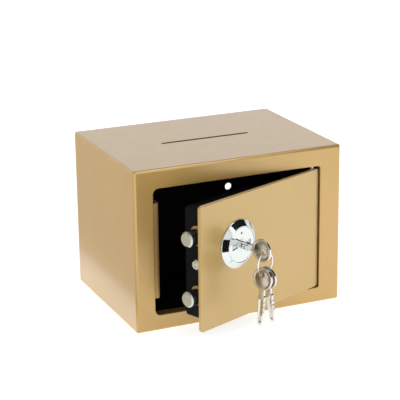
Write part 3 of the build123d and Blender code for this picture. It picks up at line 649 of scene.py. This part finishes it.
def rounded(points: list[Point2], radius: float, steps: int, share: float = 0.45) -> list[Point2]:
    """Round the corners of a closed outline.

    Args:
        points: Corners in order.
        radius: Reach of the rounding along each run.
        steps: Divisions of each corner.
        share: Largest share of a run that a corner may take.

    Returns:
        The rounded outline.
    """
    result = []
    count = len(points)
    for n in range(count):
        corner = Vector(points[n])
        before = Vector(points[n - 1]) - corner
        after = Vector(points[(n + 1) % count]) - corner
        reach = min(radius, share * before.length, share * after.length)
        start = corner + reach * before.normalized()
        end = corner + reach * after.normalized()
        for step in range(steps + 1):
            t = step / steps
            result.append(tuple((1 - t) ** 2 * start + 2 * t * (1 - t) * corner + t * t * end))
    return result


def plate_piece(
    name: str, outlines: list[list[Point2]], thickness: float, edge: float
) -> bpy.types.Object:
    """Make a flat piece with holes and rounded edges, in XY, its middle on z = 0.

    Args:
        name: Name of the piece.
        outlines: The outer outline and then the holes, in metres.
        thickness: Whole thickness in metres.
        edge: Radius of the rounded edges in metres.

    Returns:
        The new object.
    """
    curve = bpy.data.curves.new(name, "CURVE")
    curve.dimensions = "2D"
    curve.fill_mode = "BOTH"
    curve.extrude = thickness / 2 - edge
    curve.bevel_depth = edge
    curve.bevel_resolution = EDGE_STEPS
    curve.offset = -edge
    for outline in outlines:
        spline = curve.splines.new("POLY")
        spline.points.add(len(outline) - 1)
        for point, (x, y) in zip(spline.points, outline):
            point.co = (x, y, 0.0, 1.0)
        spline.use_cyclic_u = True
    holder = bpy.data.objects.new(name, curve)
    bpy.context.scene.collection.objects.link(holder)
    depsgraph = bpy.context.evaluated_depsgraph_get()
    mesh = bpy.data.meshes.new_from_object(holder.evaluated_get(depsgraph))
    bpy.data.objects.remove(holder)
    sheet = bmesh.new()
    sheet.from_mesh(mesh)
    bpy.data.meshes.remove(mesh)
    return mesh_piece(name, sheet, smooth_angle=40.0)


def cut(piece: bpy.types.Object, tool: bpy.types.Object) -> None:
    """Cut a tool out of a piece and remove the tool.

    Args:
        piece: The piece, which gets a new mesh.
        tool: The form to take away.
    """
    bpy.context.view_layer.update()
    modifier = piece.modifiers.new("cut", "BOOLEAN")
    modifier.operation = "DIFFERENCE"
    modifier.solver = "EXACT"
    modifier.object = tool
    depsgraph = bpy.context.evaluated_depsgraph_get()
    mesh = bpy.data.meshes.new_from_object(piece.evaluated_get(depsgraph))
    piece.modifiers.clear()
    piece.data = mesh
    bpy.data.objects.remove(tool)


def box_tool(low: Point3, high: Point3) -> bpy.types.Object:
    """Make a plain box that is used only to cut.

    Args:
        low: Its lowest corner in metres.
        high: Its highest corner in metres.

    Returns:
        The box.
    """
    sheet = bmesh.new()
    bmesh.ops.create_cube(sheet, size=1.0)
    size = Vector(high) - Vector(low)
    middle = (Vector(high) + Vector(low)) / 2
    sheet.transform(Matrix.Translation(middle) @ Matrix.Diagonal((*size, 1.0)))
    return mesh_piece("cutter", sheet)


def circle(radius: float, x: float, y: float, steps: int) -> list[Point2]:
    """Points round a circle."""
    turns = [2 * math.pi * n / steps for n in range(steps)]
    return [(x + radius * math.cos(a), y + radius * math.sin(a)) for a in turns]


def dress(piece: bpy.types.Object, material: bpy.types.Material) -> None:
    """Give a piece one material on all its faces."""
    piece.data.materials.clear()
    piece.data.materials.append(material)


# Sub-assemblies


@dataclass
class DoorPlace:
    """Where the open door stands, from the frame's joints."""

    joints: dict[str, dict]

    @property
    def open_turn(self) -> float:
        """Angle that the door stands open at rest."""
        return -math.radians(self.joints["door_hinge"]["range_deg"][0])

    @property
    def swing(self) -> Matrix:
        """Takes a place on the shut door to its place on the open door."""
        hinge = Matrix.Translation(Vector(self.joints["door_hinge"]["pos_m"]))
        return hinge @ Matrix.Rotation(self.open_turn, 4, "Z") @ hinge.inverted()

    @property
    def out(self) -> Vector:
        """Direction in which the open door's front looks."""
        return Vector((math.sin(self.open_turn), -math.cos(self.open_turn), 0.0))

    @property
    def lock(self) -> Vector:
        """The lock's centre on the open door's plate."""
        return Vector(self.joints["key_turn"]["pos_m"])

    def shut(self, joint: str) -> Vector:
        """A joint's place on the shut door."""
        return self.swing.inverted() @ Vector(self.joints[joint]["pos_m"])


@dataclass
class KeyShape:
    """One blank key: bow, hole, collar, grooved blade and narrow tip. Lengths are in millimetres."""

    thickness: float = 2.5
    edge: float = 0.22
    bow_radius: float = 11.5
    bow_steps: int = 64
    bow_groove_radius: float = 8.8
    bow_groove_width: float = 0.35
    bow_groove_depth: float = 0.1
    hole_radius: float = 2.5
    hole_offset: float = 4.3
    hole_steps: int = 32
    neck_width: float = 6.4
    collar_start: float = 18.0
    collar_width: float = 8.6
    collar_length: float = 3.2
    collar_flare: float = 1.2
    collar_land: float = 0.8
    blade_width: float = 7.6
    blade_length: float = 48.0
    groove_width: float = 1.8
    groove_depth: float = 0.5
    cuts: tuple[float, ...] = (0.45, 0.2, 0.6, 0.35, 0.5)
    cut_reach: float = 0.34
    tip_width: float = 5.0
    tip_length: float = 10.0
    tip_taper: float = 3.0
    tip_steps: int = 6
    flatness: float = 0.95
    matte_reach: float = 1.02

    def side(self) -> list[Point2]:
        """Trace the right-hand outline from the bow to the tip.

        Returns:
            The outline's points in millimetres.
        """
        half_blade = self.blade_width / 2
        half_tip = self.tip_width / 2
        collar_end = self.collar_start + self.collar_length
        shoulder = self.blade_length - self.tip_length - self.tip_taper
        points = [
            (self.neck_width / 2, -self.collar_start + self.collar_flare),
            (self.collar_width / 2, -self.collar_start),
            (self.collar_width / 2, -self.collar_start - self.collar_land),
            (half_blade, -collar_end),
        ]
        pitch = (shoulder - collar_end) / (len(self.cuts) + 1)
        for n, depth in enumerate(self.cuts):
            down = collar_end + pitch * (n + 1)
            points.append((half_blade, -down + self.cut_reach * pitch))
            points.append((half_blade - depth, -down))
            points.append((half_blade, -down - self.cut_reach * pitch))
        points.append((half_blade, -shoulder))
        points.append((half_tip, -self.blade_length + self.tip_length))
        for n in range(self.tip_steps + 1):
            turn = math.radians(90 * n / self.tip_steps)
            x = half_tip * math.cos(turn)
            points.append((x, -self.blade_length + half_tip * (1 - math.sin(turn))))
        return points

    def outline(self) -> list[Point2]:
        """Trace the whole key.

        Returns:
            The outline's points in metres.
        """
        right = self.side()
        left = [(-x, y) for x, y in reversed(right[:-1])]
        start = math.asin(self.neck_width / 2 / self.bow_radius)
        bow = []
        for n in range(self.bow_steps + 1):
            turn = -math.pi / 2 - start - (2 * math.pi - 2 * start) * n / self.bow_steps
            bow.append((self.bow_radius * math.cos(turn), self.bow_radius * math.sin(turn)))
        return [(x * MM, y * MM) for x, y in bow + right + left]

    def blade_cutter(self, surface: float) -> bpy.types.Object:
        """Make the tool for the groove along the blade.

        Args:
            surface: Height of the key's face in millimetres.

        Returns:
            The tool.
        """
        half = self.groove_width / 2
        top = -(self.collar_start + self.collar_length)
        bottom = -self.blade_length + self.tip_length / 2
        low = (-half * MM, bottom * MM, (surface - self.groove_depth) * MM)
        high = (half * MM, top * MM, (surface + self.groove_depth) * MM)
        return box_tool(low, high)

    def bow_cutter(self, surface: float) -> bpy.types.Object:
        """Make the tool for the round groove in the bow.

        Args:
            surface: Height of the key's face in millimetres.

        Returns:
            The tool.
        """
        inner = (self.bow_groove_radius - self.bow_groove_width / 2) * MM
        outer = (self.bow_groove_radius + self.bow_groove_width / 2) * MM
        floor = (surface - self.bow_groove_depth) * MM
        roof = (surface + self.bow_groove_depth) * MM
        ring = [(inner, floor), (outer, floor), (outer, roof), (inner, roof)]
        return mesh_piece("cutter", turned_mesh(ring, self.bow_steps))

    def make(self, name: str) -> bpy.types.Object:
        """Build the key flat in XY with its bow centre at the origin.

        Args:
            name: Name of the key.

        Returns:
            The key.
        """
        hole = circle(self.hole_radius * MM, 0.0, self.hole_offset * MM, self.hole_steps)
        key = plate_piece(name, [self.outline(), hole], self.thickness * MM, self.edge * MM)
        for side in (-1, 1):
            surface = side * self.thickness / 2
            cut(key, self.blade_cutter(surface))
            cut(key, self.bow_cutter(surface))
        return key

    def dress(self, key: bpy.types.Object, plate: bpy.types.Material, matte: bpy.types.Material) -> None:
        """Plate the key, with matte faces on the bow that carry a painted reflection, and stand it up.

        Args:
            key: The key as it is made, flat in XY.
            plate: Plating of the whole key.
            matte: Finish of the bow's faces: matte, with a tan colour that is a painted reflection of
                the gold door.
        """
        dress(key, plate)
        key.data.materials.append(matte)
        reach = self.matte_reach * self.bow_radius * MM
        for face in key.data.polygons:
            flat = abs(face.normal.z) > self.flatness
            inside = all(key.data.vertices[v].co.xy.length < reach for v in face.vertices)
            face.material_index = int(flat and inside)
        key.data.transform(Matrix.Rotation(QUARTER_TURN, 4, "X"))


@dataclass
class KeySet:
    """The key in the lock and the spare keys on the ring. Lengths are in millimetres."""

    door: DoorPlace
    shape: KeyShape = field(default_factory=KeyShape)
    bow_standoff: float = 30.7
    wire_reach: float = 0.85
    hanging_gap: float = 0.3
    tilt_room: float = 0.35
    front_swing: float = 0.0
    front_lean: float = -5.0
    rear_swing: float = -4.0
    rear_lean: float = 6.0

    def lying(self) -> Matrix:
        """Find the place of the key in the lock.

        Returns:
            The key's place on the shut door.
        """
        bow = self.door.shut("key_turn") + Vector((0, -self.bow_standoff * MM, 0))
        turn = Matrix.Rotation(QUARTER_TURN, 4, "X") @ Matrix.Rotation(QUARTER_TURN, 4, "Z")
        return Matrix.Translation(bow) @ turn

    def hanging(self, joint: str, swing: float, lean: float) -> Matrix:
        """Find the place of a spare key that hangs from the ring.

        Args:
            joint: Joint at the spare key's hole.
            swing: Swing away from the door in degrees.
            lean: Lean sideways in degrees.

        Returns:
            The key's place on the shut door.
        """
        slack = self.shape.hole_radius - self.wire_reach - self.hanging_gap
        drop = (-self.shape.hole_offset - slack + self.tilt_room) * MM
        place = Matrix.Translation(self.door.shut(joint))
        place @= Matrix.Rotation(math.radians(swing), 4, "X")
        place @= Matrix.Rotation(math.radians(-lean), 4, "Y")
        place @= Matrix.Rotation(QUARTER_TURN, 4, "Z")
        return place @ Matrix.Translation((0, 0, drop))

    def build(self, plate: bpy.types.Material, matte: bpy.types.Material) -> list[bpy.types.Object]:
        """Make, place and dress the three keys.

        Args:
            plate: The keys' plating.
            matte: Finish of the bows' faces: matte, with a tan colour that is a painted reflection of
                the gold door.

        Returns:
            The three keys.
        """
        front = self.hanging("spare_key_front_swing", self.front_swing, self.front_lean)
        rear = self.hanging("spare_key_rear_swing", self.rear_swing, self.rear_lean)
        plan = (
            ("key_in_lock", "inserted_key", Body.KEY, self.lying()),
            ("front_spare", "spare_key_front", Body.FRONT_SPARE, front),
            ("rear_spare", "spare_key_rear", Body.REAR_SPARE, rear),
        )
        keys = []
        for name, node, body, place in plan:
            key = self.shape.make(name)
            self.shape.dress(key, plate, matte)
            key.data.transform(self.door.swing @ place)
            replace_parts(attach(key, body.value), node)
            keys.append(key)
        return keys


@dataclass
class SplitRing:
    """Key ring wound from flat wire in two turns. Lengths are in millimetres, angles in radians."""

    door: DoorPlace
    radius: float = 10.5
    half_width: float = 0.75
    wire_gap: float = 0.06
    corner: float = 0.2
    corner_steps: int = 2
    turn_steps: int = 96
    jog: float = 0.7
    end_gap: float = 0.12

    @property
    def half_thick(self) -> float:
        """Half the wire's thickness."""
        return (self.half_width - self.wire_gap) / 2

    def section(self) -> list[Point2]:
        """Trace the wire's section.

        Returns:
            Points outwards and along the ring's axis.
        """
        corners = [
            (-self.half_width, -self.half_thick),
            (self.half_width, -self.half_thick),
            (self.half_width, self.half_thick),
            (-self.half_width, self.half_thick),
        ]
        return rounded(corners, self.corner, self.corner_steps)

    def aside(self, turn: float) -> float:
        """How far the wire lies beside the ring's middle at a turn.

        Args:
            turn: Angle along the wire in radians.

        Returns:
            The distance, which changes sides in a smooth jog after the first turn.
        """
        share = (turn - 2 * math.pi + self.jog / 2) / self.jog
        share = max(0.0, min(1.0, share))
        share = share * share * (3 - 2 * share)
        return (self.half_thick + self.wire_gap / 2) * (2 * share - 1)

    def wind(self) -> bmesh.types.BMesh:
        """Wind the wire round the origin.

        Returns:
            The ring's mesh.
        """
        section = self.section()
        sheet = bmesh.new()
        steps = 2 * self.turn_steps
        rings = []
        for n in range(steps + 1):
            turn = self.end_gap + (4 * math.pi - 2 * self.end_gap) * n / steps
            aside = self.aside(turn)
            ring = []
            for out, along in section:
                r = self.radius + out
                place = (r * math.sin(turn) * MM, (along + aside) * MM, r * math.cos(turn) * MM)
                ring.append(sheet.verts.new(place))
            rings.append(ring)
        count = len(section)
        for here, there in zip(rings, rings[1:]):
            for n in range(count):
                m = (n + 1) % count
                sheet.faces.new([here[n], there[n], there[m], here[m]])
        sheet.faces.new(rings[0])
        sheet.faces.new(list(reversed(rings[-1])))
        return sheet

    def build(self, material: bpy.types.Material) -> bpy.types.Object:
        """Wind, place and dress the ring.

        Args:
            material: The ring's finish.

        Returns:
            The ring.
        """
        ring = mesh_piece("split_ring", self.wind())
        centre = self.door.shut("ring_swing") - Vector((0, 0, self.radius * MM))
        ring.data.transform(self.door.swing @ Matrix.Translation(centre))
        dress(ring, material)
        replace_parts(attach(ring, Body.RING.value), "key_ring")
        return ring


@dataclass
class LockBezel:
    """Chrome bezel round the lock's face, with softly rolled edges. Lengths are in millimetres."""

    door: DoorPlace
    radius: float = 25.0
    edge_height: float = 0.9
    height: float = 4.9
    top_radius: float = 19.3
    top_drop: float = 0.3
    seat_radius: float = 18.1
    seat_height: float = 1.5
    seat_drop: float = 0.2
    bore: float = 12.0
    roll: float = 0.45
    roll_steps: int = 4
    turn_steps: int = 160

    def profile(self) -> list[Point2]:
        """Trace half the bezel's section.

        Returns:
            Radius and height pairs in metres.
        """
        lip = (self.top_radius + self.seat_radius) / 2
        corners = [
            (self.bore, 0.0),
            (self.radius, 0.0),
            (self.radius, self.edge_height),
            (self.top_radius, self.height - self.top_drop),
            (lip, self.height),
            (self.seat_radius, self.height - self.seat_drop),
            (self.seat_radius, self.seat_height),
            (self.bore, self.seat_height),
        ]
        return [(x * MM, y * MM) for x, y in rounded(corners, self.roll, self.roll_steps)]

    def build(self, material: bpy.types.Material) -> bpy.types.Object:
        """Turn, place and dress the bezel.

        Args:
            material: The bezel's plating.

        Returns:
            The bezel.
        """
        bezel = mesh_piece("lock_bezel", turned_mesh(self.profile(), self.turn_steps))
        place = Matrix.Translation(self.door.shut("key_turn")) @ Matrix.Rotation(QUARTER_TURN, 4, "X")
        bezel.data.transform(self.door.swing @ place)
        dress(bezel, material)
        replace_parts(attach(bezel, Body.DOOR.value), "lock_escutcheon")
        return bezel


@dataclass
class CarriedParts:
    """CAD parts that keep their shape and get their finish here."""

    nodes: dict[str, bpy.types.Object]
    door: DoorPlace

    def finishes(self) -> list[tuple[Finish, tuple[str, ...]]]:
        """List the finishes, also those that only a piece made here wears.

        Returns:
            Each finish and the parts that wear it.
        """
        return [
            (CASE_GOLD, ("body_wrap", "back_panel")),
            (FRAME_GOLD, ("front_frame",)),
            (DOOR_GOLD, ("door_plate", "hinge_blocks")),
            (KEEPER_GOLD, ("keeper_strip", "bolt_guide")),
            (PAN_BLACK, ("door_pan",)),
            (BOLT_STEEL, ("upper_bolt", "lower_bolt")),
            (CHROME, ("lock_escutcheon", "lock_plug", "pan_side_screw")),
            (NICKEL, ("inserted_key", "spare_key_front", "spare_key_rear")),
            (BOW_MATTE_PAINTED_REFLECTION, ()),
            (RING_STEEL, ("key_ring",)),
            (ZINC, ZINC_PARTS),
            (DIE_CAST, ("lock_housing",)),
            (BRASS, ("upper_hinge_bush", "lower_hinge_bush")),
            (INDEX_RED, ("index_dot",)),
        ]

    def dress(self) -> dict[str, bpy.types.Material]:
        """Put each finish on its parts.

        Returns:
            The materials by name.
        """
        made = {}
        for finish, names in self.finishes():
            made[finish.name] = finish.make()
            for name in names:
                self.wear(name, made[finish.name])
        self.wear("lock_face", FACE_CHROME.make(self.door.lock, self.door.out))
        return made

    def wear(self, name: str, material: bpy.types.Material) -> None:
        """Put one material on one part.

        Args:
            name: Name of the part.
            material: Its finish.
        """
        piece = self.nodes[name]
        if not piece.material_slots:
            piece.data.materials.append(None)
        for slot in piece.material_slots:
            slot.material = material


# Studio


@dataclass(frozen=True)
class Flag:
    """A square of dark felt that faces the lock from a distance along a direction."""

    name: str
    toward: Point3
    distance: float
    size: float


@dataclass(frozen=True)
class LevelSheet:
    """A level rectangle of felt, on the floor or overhead."""

    name: str
    middle: Point3
    width: float
    depth: float
    shade: Color
    glow: float


FLAG_SHADE: Color = (0.01, 0.01, 0.01)
FLAGS = (
    Flag("flag_over_lock", (0.800, -0.330, 0.520), 0.35, 0.34),
    Flag("flag_beside_lock", (0.066, -0.954, -0.120), 0.15, 0.105),
)
LEVEL_SHEETS = (
    LevelSheet("cloth_behind_left", (-0.52, 0.80, 0.004), 0.75, 1.9, (0.64, 0.56, 0.44), 0.55),
    LevelSheet("strip_overhead", (0.42, -0.42, 1.05), 0.9, 0.35, (0.8, 0.8, 0.8), 4.0),
)
HIDDEN_FROM = ("camera", "diffuse", "shadow", "transmission", "volume_scatter")
WHITE: Color = (1.0, 1.0, 1.0)


@dataclass
class Studio:
    """Floor, lights and camera."""

    lock: Vector
    eye: Point3 = (-0.61936, -1.38964, 0.58446)
    view: Point3 = (0.38440, 0.87221, -0.30246)
    roll: float = -0.703
    lens: float = 135.02
    sensor: float = 36.0
    sight: float = 60.0
    floor_size: float = 14.0
    floor_drop: float = 0.0002
    floor_shades: Span = (0.93, 0.95)
    floor_cloud_scale: float = 2.0
    floor_roughness: float = 0.8
    floor_glow: float = 0.72
    sky_strength: float = 0.97
    zenith_share: float = 0.3
    fade: Span = (0.45, 0.85)
    soft_box_place: Point3 = (1.3, -1.6, 0.9)
    soft_box_aim: Point3 = (0.0, 0.0, 0.08)
    soft_box_power: float = 4.0
    soft_box_size: float = 1.0

    def build(self) -> None:
        """Set up the whole studio."""
        self.place_camera()
        self.lay_floor()
        self.light_surroundings()
        self.hang_soft_box()
        self.place_felt()

    def place_camera(self) -> None:
        """Put the camera at the photograph's viewpoint."""
        data = bpy.data.cameras.new("camera")
        data.lens = self.lens
        data.sensor_width = self.sensor
        data.clip_end = self.sight
        camera = bpy.data.objects.new("camera", data)
        forward = Vector(self.view).normalized()
        right = forward.cross(Vector((0, 0, 1))).normalized()
        up = right.cross(forward)
        turn = math.radians(self.roll)
        right, up = (
            right * math.cos(turn) + up * math.sin(turn),
            -right * math.sin(turn) + up * math.cos(turn),
        )
        place = Matrix((right, up, -forward)).transposed().to_4x4()
        place.translation = Vector(self.eye)
        camera.matrix_world = place
        bpy.context.scene.collection.objects.link(camera)
        bpy.context.scene.camera = camera

    def lay_floor(self) -> None:
        """Lay a plain pale floor under the safe."""
        floor = square_piece("floor", self.floor_size)
        floor.location.z = -self.floor_drop
        paint = new_sheet("floor_paint")
        darker, lighter = (tinted(WHITE, shade) for shade in self.floor_shades)
        cloud = paint.noise(self.floor_cloud_scale, detail=2.0)
        paint.feed(paint.shader.inputs["Base Color"], paint.mix(cloud, darker, lighter))
        paint.shader.inputs["Roughness"].default_value = self.floor_roughness
        paint.shader.inputs["Emission Color"].default_value = rgba(WHITE)
        paint.shader.inputs["Emission Strength"].default_value = self.floor_glow
        dress(floor, paint.material)

    def light_surroundings(self) -> None:
        """Make the surroundings evenly white, and dimmer overhead."""
        scene = bpy.context.scene
        scene.view_settings.view_transform = "Standard"
        world = bpy.data.worlds.new("studio")
        scene.world = world
        world.use_nodes = True
        nodes = world.node_tree.nodes
        links = world.node_tree.links
        sky = nodes["Background"]
        sky.inputs["Color"].default_value = rgba(WHITE)
        place = nodes.new("ShaderNodeTexCoord")
        split = nodes.new("ShaderNodeSeparateXYZ")
        fade = nodes.new("ShaderNodeMapRange")
        links.new(place.outputs["Generated"], split.inputs[0])
        links.new(split.outputs["Z"], fade.inputs["Value"])
        fade.inputs["From Min"].default_value = self.fade[0]
        fade.inputs["From Max"].default_value = self.fade[1]
        fade.inputs["To Min"].default_value = self.sky_strength
        fade.inputs["To Max"].default_value = self.sky_strength * self.zenith_share
        links.new(fade.outputs[0], sky.inputs["Strength"])

    def hang_soft_box(self) -> None:
        """Hang a soft box before the safe, on the right."""
        data = bpy.data.lights.new("soft_box_right", "AREA")
        data.energy = self.soft_box_power
        data.size = self.soft_box_size
        light = bpy.data.objects.new("soft_box_right", data)
        aim = Vector(self.soft_box_aim) - Vector(self.soft_box_place)
        turn = aim.to_track_quat("-Z", "Y").to_matrix().to_4x4()
        light.matrix_world = Matrix.Translation(self.soft_box_place) @ turn
        bpy.context.scene.collection.objects.link(light)

    def place_felt(self) -> None:
        """Place the dark flags, the warm cloth and the bright strip."""
        for plan in FLAGS:
            flag = square_piece(plan.name, plan.size)
            aim = Vector(plan.toward).normalized()
            turn = (-aim).to_track_quat("Z", "Y").to_matrix().to_4x4()
            flag.matrix_world = Matrix.Translation(self.lock + plan.distance * aim) @ turn
            self.felt(flag, FLAG_SHADE, 0.0)
        for plan in LEVEL_SHEETS:
            cover = square_piece(plan.name, 1.0)
            cover.scale = (plan.width, plan.depth, 1.0)
            cover.location = plan.middle
            self.felt(cover, plan.shade, plan.glow)

    def felt(self, piece: bpy.types.Object, shade: Color, glow: float) -> None:
        """Cover a piece of the studio in felt that only reflections see.

        Args:
            piece: The flag or sheet.
            shade: Colour of the felt.
            glow: Light that it gives off by itself.
        """
        felt = new_sheet(piece.name)
        felt.shader.inputs["Base Color"].default_value = rgba(shade)
        felt.shader.inputs["Roughness"].default_value = 1.0
        felt.shader.inputs["Emission Color"].default_value = rgba(shade)
        felt.shader.inputs["Emission Strength"].default_value = glow
        felt.shader.inputs["Specular IOR Level"].default_value = 0.0
        dress(piece, felt.material)
        for ray in HIDDEN_FROM:
            setattr(piece, "visible_" + ray, False)


def main() -> None:
    """Build and dress every sub-assembly in order."""
    logging.basicConfig(level=logging.INFO, format="%(message)s")
    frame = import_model()
    door = DoorPlace({joint["name"]: joint for joint in frame["joints"]})
    made = CarriedParts(frame["nodes"], door).dress()
    for name, part in frame["nodes"].items():
        LOG.info("%s wears %s", name, part.material_slots[0].material.name)
    pieces = [LockBezel(door).build(made[CHROME.name])]
    pieces += KeySet(door).build(made[NICKEL.name], made[BOW_MATTE_PAINTED_REFLECTION.name])
    pieces.append(SplitRing(door).build(made[RING_STEEL.name]))
    for piece in pieces:
        LOG.info("%s is built with %d faces", piece.name, len(piece.data.polygons))
    Studio(door.lock).build()


if __name__ == "__main__":
    main()
